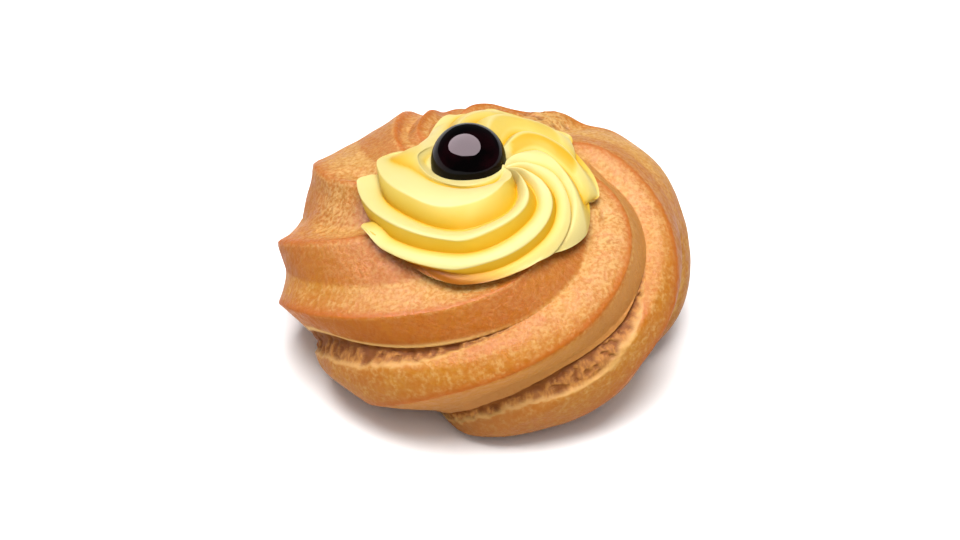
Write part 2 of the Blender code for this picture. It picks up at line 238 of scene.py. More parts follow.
def sag(gap, u, degrees):
    """Local sags that run across crests: amount times exp(-(azimuth off / half width) squared), faded in
    between two section angles."""
    lines = crest_lines(degrees)
    start = np.take_along_axis(lines, gap[None], 0)[0]
    end = np.take_along_axis(lines, gap[None] + 1, 0)[0]
    azimuth = start + (end - start) * u
    total = 0
    for place, half_width, begin, full, amount in SAGS:
        away = (azimuth - place + 180) % 360 - 180
        total = total + amount * np.exp(-(away / half_width) ** 2) * smooth(begin, full, degrees)
    return total


def furrow_depth(gap, u, degrees):
    """Depth under the envelope at fraction u of a gap. The face under a crest falls as 1 minus (1 - t) to
    a power, and past the crease the next ridge comes up as a flat face, a lip or a round flute."""
    high = smooth(-15, 45, degrees)
    depth = DEPTH_LOW[gap] + (DEPTH_HIGH[gap] - DEPTH_LOW[gap]) * high
    depth = depth * (1 + 0.28 * np.clip((-degrees - 28) / 15, 0, 1))
    crease = crease_place(gap, degrees)
    s = np.clip((u - crease) / (1 - crease), 0, 1)
    drop = 1 - (1 - np.clip(u / crease, 0, 1)) ** STEEP[gap]
    lip = LIP[gap] * (1 - smooth(5, 45, degrees))
    face = (1 - lip) * (1 - s) ** 1.7 + lip * (1 - 0.82 * smooth(0.10, 0.52, s) - 0.18 * s)
    rise = (1 - ROUND[gap]) * face + ROUND[gap] * (1 - s ** 1.8)
    nearby = LIFT[gap] * np.clip(1 - 4 * u, 0, 1) ** 2
    nearby = nearby + LIFT[(gap + 1) % 9] * np.clip(4 * u - 3, 0, 1) ** 2
    wave = depth * np.where(u < crease, drop, rise) - nearby * smooth(20, 45, degrees)
    return (wave + sag(gap, u, degrees)) * (1 - smooth(72, 90, degrees))


def crust_surface(gap, u, degrees, relief):
    """Envelope point pushed in along its normal by the furrow's depth and the relief, and straight
    towards the axis below the widest line, so that the underside stays level."""
    lines = crest_lines(degrees[0])
    azimuth = np.radians(lines[gap[:, 0]] * (1 - u) + lines[gap[:, 0] + 1] * u)
    depth = furrow_depth(gap, u, degrees) + relief
    r, z = section(degrees)
    nr, nz = section_normal(degrees)
    low = np.clip(-degrees / 25, 0, 1)
    r = r - depth * (nr * (1 - low) + low)
    z = z - depth * nz * (1 - low)
    crease = CREASE_LOW[gap]
    foot = np.clip((-degrees - 32) / 18, 0, 1) * smooth(crease, crease + 0.2, u)
    r = r + FOOT[gap] * foot * (1 - smooth(0.75, 1.0, u))
    lowest = section(BASE_ANGLE)[1]
    z = z - lowest * (np.clip(HALF_HEIGHT - z, 0, None) / (HALF_HEIGHT - lowest)) ** 2
    return np.stack([r * np.cos(azimuth), r * np.sin(azimuth), z], -1)


def dish(r):
    """Smooth bowl inside the highest line: the top less the depth times (1 - r squared) squared."""
    return 2 * HALF_HEIGHT - DISH_DEPTH * (1 - np.clip(r / RING_RADIUS, 0, 1) ** 2) ** 2


# %% [markdown]
# Choux swells in the oven and its skin tears along the creases. A tear is a pale sunken band, with a deep
# ragged groove under the ridge above it, strands hanging across and small pits where steam came out. All
# of this is real relief, so the columns of the grid crowd together where the tears are. The tables give
# the width of each tear at a few section angles, as a fraction of the way from the crease to the next
# crest. Where each effect lies is kept as a mask for the crust's material.

# %% Crust of the pastry
COLUMNS = (36, 112, 118, 44, 28, 24, 24, 26, 40)
CROWD_START = np.array((0.30, 0.20, 0.25, 0.40, 0.30, 0.30, 0.30, 0.30, 0.35))
CROWD_END = np.array((0.80, 0.72, 0.78, 0.80, 0.80, 0.80, 0.80, 0.80, 0.80))
TEAR_LEVELS = (-60, -35, -20, -12, -5, 5, 17, 26, 38, 46)
TEAR_WIDTHS = (
    (0.00, 0.00, 0.00, 0.00, 0.00, 0.00, 0.00, 0.00, 0.00, 0.00),
    (0.15, 0.22, 0.30, 0.37, 0.41, 0.38, 0.28, 0.14, 0.05, 0.00),
    (0.28, 0.25, 0.30, 0.46, 0.56, 0.48, 0.36, 0.20, 0.03, 0.00),
    (0.20, 0.22, 0.28, 0.30, 0.28, 0.18, 0.08, 0.00, 0.00, 0.00),
    (0.25, 0.28, 0.32, 0.34, 0.30, 0.20, 0.10, 0.00, 0.00, 0.00),
    (0.25, 0.28, 0.34, 0.36, 0.34, 0.26, 0.12, 0.00, 0.00, 0.00),
    (0.25, 0.30, 0.36, 0.38, 0.36, 0.30, 0.20, 0.10, 0.00, 0.00),
    (0.20, 0.26, 0.30, 0.32, 0.30, 0.22, 0.10, 0.00, 0.00, 0.00),
    (0.10, 0.12, 0.14, 0.14, 0.12, 0.10, 0.06, 0.00, 0.00, 0.00),
)
GROOVE_WIDTH = np.array((0.0, 0.32, 0.12, 0.10, 0.14, 0.16, 0.18, 0.12, 0.04))
PIT_SHARE = np.array((0.0, 0.85, 1.0, 0.7, 0.6, 0.8, 0.5, 0.7, 0.5))
TEAR_START = np.array((0.0, 0.02, 0.17, 0.06, 0.05, 0.05, 0.05, 0.05, 0.0))
KNOBS = ((186, 56, 13, 0.15), (66, 62, 11, 1.0), (57, 60, 9, 1.0), (337, 72, 5, 0.4), (325, 61, 4, 0.3))
LUMP_DEPTH, TEAR_DEPTH, STRAND_DEPTH = 0.30, 0.60, 0.30
GROOVE_DEPTH, PIT_DEPTH, KNOB_PIT_DEPTH = 0.55, 0.50, 0.70


def spread(count, start, end):
    """Fractions from 0 to 1 with seven tenths of the columns between start and end."""
    return np.interp(np.arange(count) / count, (0, 0.15, 0.85, 1), (0, start, end, 1))


gap = np.repeat(np.arange(9), COLUMNS)[:, None]
across = np.concatenate([spread(*three) for three in zip(COLUMNS, CROWD_START, CROWD_END)])[:, None]
levels = np.concatenate([np.linspace(BASE_ANGLE, 72, 200), np.linspace(72, 90, 12)[1:]])
degrees = np.broadcast_to(levels, (len(gap), len(levels)))
across = np.broadcast_to(across, degrees.shape)
gap = np.broadcast_to(gap, degrees.shape)

plain = crust_surface(gap, across, degrees, 0.0)
crease = crease_place(gap, degrees)
past = (across - crease) / (1 - crease)
turned = np.degrees(np.unwrap(np.arctan2(plain[..., 1], plain[..., 0]), axis=0))
round_axis = np.radians(turned) * 48
tear = np.stack([through(TEAR_LEVELS, row, levels) for row in TEAR_WIDTHS])[gap[:, 0]]
hanging = np.stack([round_axis, past * 6 + 0 * gap, gap * 7.3], -1)
inside = past - TEAR_START[gap] * smooth(0.05, 0.40, tear)
ragged = past + 0.06 * (noise(hanging, 1.3) - 0.5) + 0.05 * (noise(plain, 0.9) - 0.5)
torn = smooth(-0.02, 0.02, inside) * (1 - smooth(0.88, 1.04, ragged / np.maximum(tear, 0.01)))
torn = torn * smooth(0.01, 0.08, tear)
comb = noise(hanging * (1, 0.35, 1), 1.25)
reach = GROOVE_WIDTH[gap] * smooth(0.02, 0.30, tear) * (0.10 + 1.7 * comb ** 2 + 0.5 * noise(hanging, 0.6))
groove = torn * (1 - smooth(0.75, 1.15, inside / np.maximum(reach, 0.004)))
strands = noise(hanging, 0.8)
near_lip = 1 - 0.75 * np.clip(inside / np.maximum(tear, 0.01), 0, 1)
eased = smooth(-0.02, 0.14, inside)
pits = torn * smooth(0.60, 0.72, noise(plain + 4.0, 1.15) * (0.82 + 0.30 * near_lip)) * PIT_SHARE[gap]
knobs, pitted = 0, 0
for azimuth, angle, size, share in KNOBS:
    away = np.hypot((turned - azimuth + 180) % 360 - 180, degrees - angle)
    knobs = np.maximum(knobs, np.exp(-(away / size) ** 2))
    pitted = np.maximum(pitted, share * np.exp(-(away / size) ** 2))
knob_pits = pitted * smooth(0.60, 0.72, noise(plain + 9.0, 1.5))
lumps = 0.6 * noise(plain, 6.0) + 0.4 * noise(plain, 2.5)
relief = LUMP_DEPTH * lumps + torn * eased * (TEAR_DEPTH + STRAND_DEPTH * strands)
relief = relief + GROOVE_DEPTH * groove + PIT_DEPTH * pits
relief = relief + knobs * (0.6 * noise(plain, 1.7) + 0.2 * noise(plain, 0.9)) + KNOB_PIT_DEPTH * knob_pits
relief = relief * (1 - smooth(74, 86, degrees)) * smooth(BASE_ANGLE, BASE_ANGLE + 8, degrees)
crust = crust_surface(gap, across, degrees, relief)
crust = 0.6 * crust + 0.2 * (np.roll(crust, 1, axis=0) + np.roll(crust, -1, axis=0))
print(f"relief up to {relief.max():.2f} mm deep, {np.mean(torn > 0.5):.0%} of the grid is torn")

# %% [markdown]
# More masks follow the ridges. The crest is where the crust browned most, because it stood
# nearest to the heat, and the toasted face above it shades into the pale valley. The underface is the
# darker side below a crest, partly browning and partly painted shade on the side that faces down. The
# lip is the thin pale edge on both sides of a tear. The blush is the part of an underface that opened
# late in the oven, and so stayed pale and matt.

# %% Masks on the crust
UNDER_TONE = np.array((0.85, 1.00, 0.05, 0.70, 0.75, 0.75, 0.75, 0.75, 0.65))
UPPER_LIP = np.array((1.0, 1.0, 0.0, 0.6, 0.4, 0.3, 0.3, 0.4, 0.4))
width = 44 * np.radians(crest_lines(levels)[gap[:, 0] + 1] - crest_lines(levels)[gap[:, 0]])
before, after = across * width, (1 - across) * width
crest = np.maximum(np.exp(-(before / 1.3) ** 2), np.exp(-(after / 2.8) ** 2))
toast = np.exp(-(after / 8.0) ** 2)
underface = smooth(0.0, 0.10, across / crease) * (1 - smooth(0.86, 1.02, across / crease)) * UNDER_TONE[gap]
edged = smooth(0.03, 0.15, tear)
upper_lip = np.exp(-((across / crease - 0.94) / 0.08) ** 2)
lower_lip = np.exp(-((ragged / np.maximum(tear, 0.01) - 1.0) / 0.08) ** 2)
lip = np.maximum(upper_lip * UPPER_LIP[gap], 0.7 * lower_lip) * edged
left_end = smooth(-6, -24, degrees) * (gap == 1)
blush = smooth(0.05, 0.30, across / crease) * (1 - smooth(-0.02, 0.05, inside))
blush = blush * ((gap == 2) + 0.8 * left_end)
holes = np.clip(groove + 0.9 * pits + 0.9 * knob_pits, 0, 1)
inner = np.arctan2(crust[:, -1, 1], crust[:, -1, 0])[:, None]
dish_radius = RING_RADIUS * np.linspace(1, 0, 7)[None, 1:-1]
bowl = np.stack([dish_radius * np.cos(inner), dish_radius * np.sin(inner), dish(dish_radius) + 0 * inner], -1)
rings = np.concatenate([crust, bowl], 1)
low, high = (np.array(c) / MM for c in CAD_BOX)
rings = np.clip(rings, low + 0.01, (high[0] - 0.01, high[1] - 0.01, high[2]))
pad = ((0, 0), (0, bowl.shape[1]))
masks = dict(crest=crest, toast=toast, underface=underface, torn=torn, holes=holes, lip=lip, blush=blush,
             knobs=knobs)
masks = {name: np.pad(values, pad) for name, values in masks.items()}
pastry = skin("baked_pastry", rings, (0, 0, 0), (0, 0, 2 * HALF_HEIGHT - DISH_DEPTH), masks)

# %% [markdown]
# The cream is piped last, in one turn of a star nozzle that ends under the cherry. It is a dome whose
# circles slide from the swirl's centre, right of the cherry, to the centre of its outline. Its nine
# ridges are lines over that dome: one table has their azimuths at some steps of the way out, a second
# how far down the dome they lie, and a third where the crease is between two of them. Outside each crest
# the surface steps down, as whipped layers do. The underside follows the pastry with a small gap. Three
# more rows of numbers set painted shade for the colour alone: how much deeper yellow each ridge's face,
# crease and wall get where they lie in shade.

# %% Ridges of the cream
CREAM_CENTRE, SWIRL_CENTRE = np.array((-2.7, -5.0)), np.array((4.2, -9.0))
CREAM_RADIUS, CREAM_FLAT = 31.0, 8.0
CREAM_RIM_HEIGHT, CREAM_DOME, CREAM_POWER = 43.0, 13.0, 1.9
GAP_BELOW_CREAM = 0.45
RIDGE_STEPS = (0.0, 0.15, 0.30, 0.45, 0.60, 0.75, 0.88, 1.0)
CREAM_AZIMUTHS = (
    (157, 180, 211, 238, 261, 283, 301, 325),
    (178, 202, 231, 258, 278, 301, 314, 337),
    (208, 228, 254, 276, 298, 318, 332, 354),
    (258, 275, 292, 306, 320, 334, 352, 394),
    (329, 331, 334, 339, 346, 358, 386, 440),
    (354, 355, 360, 368, 379, 394, 420, 478),
    (402, 401, 403, 408, 416, 426, 440, 505),
    (440, 441, 443, 447, 455, 467, 484, 560),
    (466, 480, 498, 518, 539, 566, 600, 635),
)
CREAM_LEVELS = (
    (1.60, 1.52, 1.40, 1.33, 1.19, 1.00, 0.76, 0),
    (1.77, 1.71, 1.63, 1.58, 1.45, 1.29, 1.05, 0),
    (2.01, 1.92, 1.88, 1.76, 1.63, 1.42, 1.09, 0),
    (2.14, 2.05, 1.99, 1.88, 1.70, 1.42, 1.10, 0),
    (1.94, 1.79, 1.66, 1.53, 1.40, 1.27, 1.09, 0),
    (1.88, 1.73, 1.60, 1.51, 1.45, 1.33, 1.18, 0),
    (1.88, 1.68, 1.60, 1.56, 1.54, 1.47, 1.43, 0),
    (1.93, 1.80, 1.66, 1.53, 1.43, 1.36, 1.25, 0),
    (1.88, 1.72, 1.50, 1.28, 1.24, 1.18, 1.06, 0),
)
CREASE_STEPS = (0.04, 0.25, 0.45, 0.60, 0.75, 0.88)
CREAM_CREASES = (
    (0.55, 0.64, 0.64, 0.64, 0.62, 0.60),
    (0.80, 0.57, 0.54, 0.47, 0.45, 0.45),
    (0.50, 0.37, 0.42, 0.45, 0.42, 0.40),
    (0.45, 0.40, 0.40, 0.35, 0.33, 0.33),
    (0.84, 0.45, 0.42, 0.40, 0.36, 0.33),
    (0.84, 0.50, 0.42, 0.38, 0.36, 0.33),
    (0.50, 0.50, 0.50, 0.50, 0.50, 0.50),
    (0.50, 0.50, 0.50, 0.50, 0.50, 0.50),
    (0.60, 0.45, 0.30, 0.22, 0.22, 0.22),
)
CREAM_STEPS = np.array((3.2, 2.3, 1.8, 1.9, 2.2, 2.2, 2.2, 1.8, 0.9))
CREAM_FALLS = np.array((1.1, 0.75, 0.75, 0.9, 1.1, 1.2, 1.2, 1.2, 1.4))
# Painted shade: how much deeper yellow the shaded face under each crest, the crease after it and the fan's
# groove walls get.
FACE_SHADE = np.array((0.55, 0.80, 0.85, 0.30, 0.20, 0.20, 0.20, 0.20, 0.10))
SHADE_TAIL = np.array((0.05, 0.10, 0.22, 0.12, 0.26, 0.22, 0.40, 0.10, 0.06))
WALL_SHADE = np.array((0.0, 0.0, 0.0, 0.2, 0.9, 0.6, 0.3, 0.0, 0.0))
CREAM_OUTLINE = (
    (143, 156, 168, 178, 208, 236, 252, 266, 280, 300, 332, 355, 375, 403, 430, 450, 460, 466, 477, 488, 501),
    (23.9, 26.9, 29.7, 29.4, 29.4, 30.3, 30.9, 32.3, 32.4, 31, 29.8, 29.2, 28.8, 30.7, 31.4, 32, 31, 29.4,
     26.2, 24, 23.6),
)
CHERRY_CENTRE, CHERRY_RADIUS, CHERRY_FLATTEN = np.array((-3.8, -5.0, 54.4)), 8.85, 0.98
CHERRY_DENT = 0.8
THINNEST_CREAM, EASE = 1.2, 0.3


def pastry_height(x, y):
    """Height of the plain pastry over a plan point: the section angle is found from the radius, the
    furrow's depth from that angle, and both again a few times until they agree."""
    radius, azimuth = np.hypot(x, y), np.degrees(np.arctan2(y, x))
    envelope, depth = radius.copy(), 0 * radius
    for _ in range(4):
        q = np.clip((envelope - RING_RADIUS) / TUBE_WIDTH, 0, 0.999)
        p = (1 - q ** HIGH_POWER) ** (1 / HIGH_POWER)
        angle = np.degrees(np.arctan2(p, q))
        lines = crest_lines(angle)
        turn = lines[0] + (azimuth - lines[0]) % 360
        g = np.clip((turn >= lines).sum(0) - 1, 0, 8)
        start = np.take_along_axis(lines, g[None], 0)[0]
        end = np.take_along_axis(lines, g[None] + 1, 0)[0]
        depth = furrow_depth(g, (turn - start) / (end - start), angle)
        nr, nz = section_normal(angle)
        envelope = radius + depth * nr
    return np.where(radius < RING_RADIUS, dish(radius), HALF_HEIGHT * (1 + p) - depth * nz)


BED_STEP = 0.5
BED_SIDE = np.arange(-40, 40.1, BED_STEP)
bed_x, bed_y = np.meshgrid(BED_SIDE, BED_SIDE, indexing="ij")
bed_map = pastry_height(bed_x, bed_y)
for way in np.radians(np.arange(0, 360, 60)):
    bed_map = np.maximum(bed_map, pastry_height(bed_x + 2 * np.cos(way), bed_y + 2 * np.sin(way)))
print(f"cream bed mapped on {bed_map.size} points, {bed_map.min():.1f} to {bed_map.max():.1f} mm high")


def cream_bed(x, y):
    """Bilinear reading of the map of the pastry's highest points close by, plus the gap."""
    i, j = (np.clip((v - BED_SIDE[0]) / BED_STEP, 0, len(BED_SIDE) - 1.001) for v in (x, y))
    a, b = i.astype(int), j.astype(int)
    s, t = i - a, j - b
    front = bed_map[a, b] * (1 - s) + bed_map[a + 1, b] * s
    back = bed_map[a, b + 1] * (1 - s) + bed_map[a + 1, b + 1] * s
    return front * (1 - t) + back * t + GAP_BELOW_CREAM


def cream_surface(gap, u, along):
    """Dome of superellipse section, its radius taken from the outline, less a step. From a crest to its
    crease the step deepens as t to a power of that ridge's own, and then comes back as (1 - t) squared.
    Every circle's centre slides from the swirl's to the outline's in proportion to its radius. The second
    result is the shade: how deep a point lies in a crease, from 0 to 1, for the colour."""
    turns = np.stack([through(RIDGE_STEPS, row, along[0]) for row in CREAM_AZIMUTHS])
    turns = np.concatenate([turns, turns[:1] + 360])
    rises = np.stack([through(RIDGE_STEPS, row, along[0]) for row in CREAM_LEVELS])
    rises = np.concatenate([rises, rises[:1]])
    g = gap[:, 0]
    degrees = turns[g] * (1 - u) + turns[g + 1] * u
    level = rises[g] * (1 - u) + rises[g + 1] * u
    azimuth, angle = np.radians(degrees), np.radians(90 * (2 - np.maximum(level, 1)))
    c, s = np.cos(angle), np.sin(angle)
    k = (np.abs(c) ** CREAM_POWER + np.abs(s) ** CREAM_POWER) ** (-1 / CREAM_POWER)
    outline = through(*CREAM_OUTLINE, (degrees - 143) % 360 + 143)
    radius = np.where(level < 1, level * CREAM_FLAT, CREAM_FLAT + (outline - CREAM_FLAT) * c * k)
    height = CREAM_RIM_HEIGHT + CREAM_DOME * np.where(level < 1, 1, s * k)
    crease = np.stack([through(CREASE_STEPS, row, along[0]) for row in CREAM_CREASES])[g]
    fall = np.clip((1 - u) / (1 - crease), 0, 1) ** 2
    fall = np.where(u < crease, (u / crease) ** CREAM_FALLS[gap], fall) * smooth(1.0, 0.93, along)
    step = fall * CREAM_STEPS[gap] * (1.5 - 0.5 * smooth(0, 0.2, along))
    radius = radius - step * np.where(level < 1, 0, c)
    height = height - step * np.where(level < 1, 1, s)
    share = (radius / CREAM_RADIUS)[..., None]
    plan = SWIRL_CENTRE + (CREAM_CENTRE - SWIRL_CENTRE) * share
    plan = plan + radius[..., None] * np.stack([np.cos(azimuth), np.sin(azimuth)], -1)
    beside = np.clip(np.hypot(*np.moveaxis(plan - CHERRY_CENTRE[:2], -1, 0)) - CHERRY_RADIUS, 0, None)
    height = height - CHERRY_DENT * np.exp(-(beside / 3.2) ** 2)
    above = height - cream_bed(plan[..., 0], plan[..., 1]) - THINNEST_CREAM
    height = height - above + 0.5 * (above + np.hypot(above, EASE))
    # Painted shade for the colour: the face under a crest, the crease past it and the walls of the fan's
    # grooves are marked as shade.
    face = FACE_SHADE[gap] * smooth(0, 0.05, u) + (1 - FACE_SHADE[gap]) * u / crease
    wall = smooth(0.30, 0.55, u) * smooth(1.0, 0.86, u) * smooth(0.40, 0.60, along) * WALL_SHADE[gap]
    tail = SHADE_TAIL[gap] + np.where(gap == 2, 0.9 * smooth(0.42, 0.22, along), 0)
    shade = np.where(u < crease, face, np.exp(-np.clip(u - crease, 0, None) / tail))
    shade = np.maximum(shade, wall) * smooth(1.0, 0.96, along) * smooth(0.4, 2.0, beside)
    return np.concatenate([plan, height[..., None]], -1), shade


# %% Cream
CREAM_COLUMNS, CREAM_ROWS, UNDER_ROWS = 38, 150, 16
SOFTENING = 8
gap = np.repeat(np.arange(9), CREAM_COLUMNS)[:, None]
across = np.tile(np.arange(CREAM_COLUMNS) / CREAM_COLUMNS, 9)[:, None]
along = np.broadcast_to(np.linspace(0, 0.992, CREAM_ROWS), (len(gap), CREAM_ROWS))
gap, across = np.broadcast_to(gap, along.shape), np.broadcast_to(across, along.shape)
# The second result is painted shade, carried below as the crease mask.
top, fall = cream_surface(gap, across, along)
top = 0.5 * top + 0.25 * (np.roll(top, 1, axis=0) + np.roll(top, -1, axis=0))
for _ in range(SOFTENING):
    top[:, 1:-1] = 0.5 * top[:, 1:-1] + 0.25 * (top[:, :-2] + top[:, 2:])
share = np.append(np.linspace(0, 0.9, UNDER_ROWS)[1:], (0.94, 0.975))[None, :, None]
plan = CREAM_CENTRE + (top[:, :1, :2] - CREAM_CENTRE) * share
under = np.concatenate([plan, cream_bed(plan[..., 0], plan[..., 1])[..., None]], -1)
middle = cream_bed(CREAM_CENTRE[:1], CREAM_CENTRE[1:])[0]
shadowed = (gap == 2) * smooth(0.12, 0.30, across) * smooth(0.42, 0.16, along)
shadowed = np.maximum(shadowed, (gap == 3) * smooth(0.14, 0.02, along) * smooth(0.5, 0.1, across))
pad = ((0, 0), (under.shape[1], 0))
masks = dict(crease=np.pad(fall, pad), shadowed=np.pad(shadowed, pad))
cream = skin(
    "piped_cream", np.concatenate([under, top], 1), (*CREAM_CENTRE, middle),
    (*SWIRL_CENTRE, CREAM_RIM_HEIGHT + CREAM_DOME), masks,
)

# %% [markdown]
# The cherry was pressed into the cream. A cherry in syrup is not a true ball: its skin is a little
# uneven, and that is what bends the reflections on it. The same surface, slightly larger, is the cutter
# that presses the cup into the cream.

# %% Cherry
CUP_GAP = 0.06


def cherry_rings(extra):
    """Ball of radius R times (1 - small noise), flattened in height, on a grid of azimuth by latitude."""
    turn = np.radians(np.arange(0, 360, 3.0))[:, None]
    rise = np.radians(np.linspace(-90, 90, 61)[1:-1])[None]
    way = np.stack([np.cos(rise) * np.cos(turn), np.cos(rise) * np.sin(turn), np.sin(rise) + 0 * turn], -1)
    dents = 0.022 * noise(way + 3.0, 0.62) + 0.004 * noise(way + 7.0, 0.20)
    radius = CHERRY_RADIUS * (1 - dents) + extra
    return CHERRY_CENTRE + way * radius[..., None] * (1, 1, CHERRY_FLATTEN)


def ball(name, extra):
    """Closed mesh of the ball, with its poles on the mean of the nearest ring."""
    rings = cherry_rings(extra)
    low, high = rings[:, 0].mean(0), rings[:, -1].mean(0)
    return skin(name, rings, low, high, {})


cherry = ball("syrup_cherry", 0.0)
cutter = ball("cup_cutter", CUP_GAP)
cut = cream.modifiers.new("cup", "BOOLEAN")
cut.operation, cut.solver, cut.object = "DIFFERENCE", "EXACT", cutter
bpy.context.view_layer.update()
hollowed = bpy.data.meshes.new_from_object(cream.evaluated_get(bpy.context.evaluated_depsgraph_get()))
cream.modifiers.clear()
cream.data = hollowed
cream.data.name = "piped_cream"
bpy.data.objects.remove(cutter)
cream.data.shade_smooth()
cream.data.set_sharp_from_angle(angle=math.radians(70))
print("cream with its cup:", len(cream.data.polygons), "faces")

# %% [markdown]
# Materials are built from nodes. Effects that several of them share are node groups: mottling, which is
# noise stretched between two limits, and grain, which is fine noise turned into a bumped normal. Both
# read Object coordinates, so a pattern stays on the piece from every side. Their sizes are in metres.

# %% Node helpers


def add(tree, kind, inputs=None, **settings):
    """Adds one node, sets its options, and links or fills its inputs by name or number."""
    made = tree.nodes.new("ShaderNode" + kind)
    for key, value in settings.items():
        setattr(made, key, value)
    for key, value in (inputs or {}).items():
        if isinstance(value, bpy.types.NodeSocket):
            tree.links.new(value, made.inputs[key])
        else:
            made.inputs[key].default_value = value
    return made


def calc(tree, operation, *values):
    """One Math node on up to three values or sockets, clamped only where its name says so."""
    return add(tree, "Math", dict(enumerate(values)), operation=operation).outputs[0]


def blend(tree, mask, first, second, mode="MIX"):
    """Colour mix by a mask: first where the mask is 0, second where it is 1."""
    made = add(tree, "Mix", {0: mask}, data_type="RGBA", blend_type=mode)
    for key, value in ((6, first), (7, second)):
        if isinstance(value, bpy.types.NodeSocket):
            tree.links.new(value, made.inputs[key])
        else:
            made.inputs[key].default_value = (*value, 1.0)
    return made.outputs[2]


def group(name, inputs, outputs):
    """An empty node group with named sockets, and its input and output nodes."""
    tree = bpy.data.node_groups.new(name, "ShaderNodeTree")
    for title, kind, value in inputs:
        socket = tree.interface.new_socket(title, in_out="INPUT", socket_type="NodeSocket" + kind)
        if value is not None:
            socket.default_value = value
    for title, kind in outputs:
        tree.interface.new_socket(title, in_out="OUTPUT", socket_type="NodeSocket" + kind)
    return tree, tree.nodes.new("NodeGroupInput"), tree.nodes.new("NodeGroupOutput")


def use(tree, source, **inputs):
    """Places a node group in a material with its own values."""
    made = tree.nodes.new("ShaderNodeGroup")
    made.node_tree = source
    for key, value in inputs.items():
        key = key.replace("_", " ")
        if isinstance(value, bpy.types.NodeSocket):
            tree.links.new(value, made.inputs[key])
        else:
            made.inputs[key].default_value = value
    return made.outputs[0]


# %% Mottle and grain
mottle, given, result = group(
    "mottle",
    [("Place", "Vector", None), ("Size", "Float", 0.005), ("Detail", "Float", 3.0), ("From", "Float", 0.35),
     ("To", "Float", 0.65)],
    [("Mask", "Float")],
)
scaled = add(mottle, "VectorMath", {0: given.outputs["Place"]}, operation="SCALE")
inverse = calc(mottle, "DIVIDE", 1.0, given.outputs["Size"])
mottle.links.new(inverse, scaled.inputs["Scale"])
cloud = add(mottle, "TexNoise", {"Vector": scaled.outputs[0], "Scale": 1.0,
                                 "Detail": given.outputs["Detail"]})
fade = add(mottle, "MapRange", {"Value": cloud.outputs[0], "From Min": given.outputs["From"],
                                "From Max": given.outputs["To"]}, interpolation_type="SMOOTHSTEP")
mottle.links.new(fade.outputs[0], result.inputs["Mask"])

grain, given, result = group(
    "grain",
    [("Place", "Vector", None), ("Size", "Float", 0.001), ("Height", "Float", 0.0001),
     ("Normal", "Vector", None)],
    [("Normal", "Vector")],
)
scaled = add(grain, "VectorMath", {0: given.outputs["Place"]}, operation="SCALE")
grain.links.new(calc(grain, "DIVIDE", 1.0, given.outputs["Size"]), scaled.inputs["Scale"])
cloud = add(grain, "TexNoise", {"Vector": scaled.outputs[0], "Scale": 1.0, "Detail": 4.0, "Roughness": 0.6})
raised = calc(grain, "MULTIPLY", cloud.outputs[0], given.outputs["Height"])
bump = add(grain, "Bump", {"Strength": 1.0, "Distance": 1.0, "Height": raised,
                           "Normal": given.outputs["Normal"]})
grain.links.new(bump.outputs[0], result.inputs["Normal"])

# %% [markdown]
# Fibres are a second kind of mottling, for the tears. In the oven the dough stretches upwards, so what
# hangs in a tear runs up and down the sides of the bun. The group turns a point into a direction round the
# axis and a height, and squeezes the height, so that noise read at that place comes out as upright
# streaks.

# %% Fibres
fibres, given, result = group(
    "fibres",
    [("Place", "Vector", None), ("Width", "Float", 0.0008), ("Length", "Float", 0.005),
     ("From", "Float", 0.4), ("To", "Float", 0.7)],
    [("Mask", "Float")],
)
parts = add(fibres, "SeparateXYZ", {0: given.outputs["Place"]})
flat = add(fibres, "CombineXYZ", {0: parts.outputs[0], 1: parts.outputs[1], 2: 0.0})
away = add(fibres, "VectorMath", {0: flat.outputs[0]}, operation="LENGTH").outputs["Value"]
turned = add(fibres, "VectorMath", {0: flat.outputs[0]}, operation="NORMALIZE")
spread = add(fibres, "VectorMath", {0: turned.outputs[0]}, operation="SCALE")
fibres.links.new(calc(fibres, "DIVIDE", 0.048, given.outputs["Width"]), spread.inputs["Scale"])
climb = calc(fibres, "SUBTRACT", parts.outputs[2], away)
climb = calc(fibres, "DIVIDE", climb, given.outputs["Length"])
lifted = add(fibres, "CombineXYZ", {0: 0.0, 1: 0.0, 2: climb})
joined = add(fibres, "VectorMath", {0: spread.outputs[0], 1: lifted.outputs[0]}, operation="ADD")
cloud = add(fibres, "TexNoise", {"Vector": joined.outputs[0], "Scale": 1.0, "Detail": 3.0, "Distortion": 0.3})
fade = add(fibres, "MapRange", {"Value": cloud.outputs[0], "From Min": given.outputs["From"],
                                "From Max": given.outputs["To"]}, interpolation_type="SMOOTHSTEP")
fibres.links.new(fade.outputs[0], result.inputs["Mask"])

# %% [markdown]
# The crust's colour is layered as the oven made it: orange on the faces, orange-red on the crests, pale
# in the tears and dark in the holes, with a fine pale straw speckle over the open faces. Three layers also
# carry painted light and shade: the darker underface is partly browning and partly painted shade, the paler
# straw towards the top is painted light, and the darker tan towards the tray is partly the tray's browning
# and partly painted shade on the low faces. Each layer is one mix by one mask. Little of the light is
# mirrored, as on any dry crust, and a trace of it goes under the surface.

# %% Baked crust


def material(name):
    """A new material with its tree, its Principled shader and the piece's Object coordinates."""
    made = bpy.data.materials.new(name)
    made.use_nodes = True
    tree = made.node_tree
    shader = tree.nodes["Principled BSDF"]
    place = add(tree, "TexCoord").outputs["Object"]
    return made, tree, shader, place


def mask_of(tree, name):
    """The value of a vertex mask."""
    return add(tree, "Attribute", attribute_name=name).outputs["Fac"]


STRAW, GOLDEN, ORANGE = (0.570, 0.365, 0.125), (0.375, 0.145, 0.009), (0.325, 0.085, 0.003)
EMBER, BROWNED_AND_SHADED = (0.350, 0.078, 0.003), (0.285, 0.066, 0.004)
BLUSH, PALE_TEAR = (0.400, 0.178, 0.046), (0.385, 0.165, 0.036)
TAN, PIT_BROWN = (0.235, 0.090, 0.024), (0.15, 0.042, 0.005)

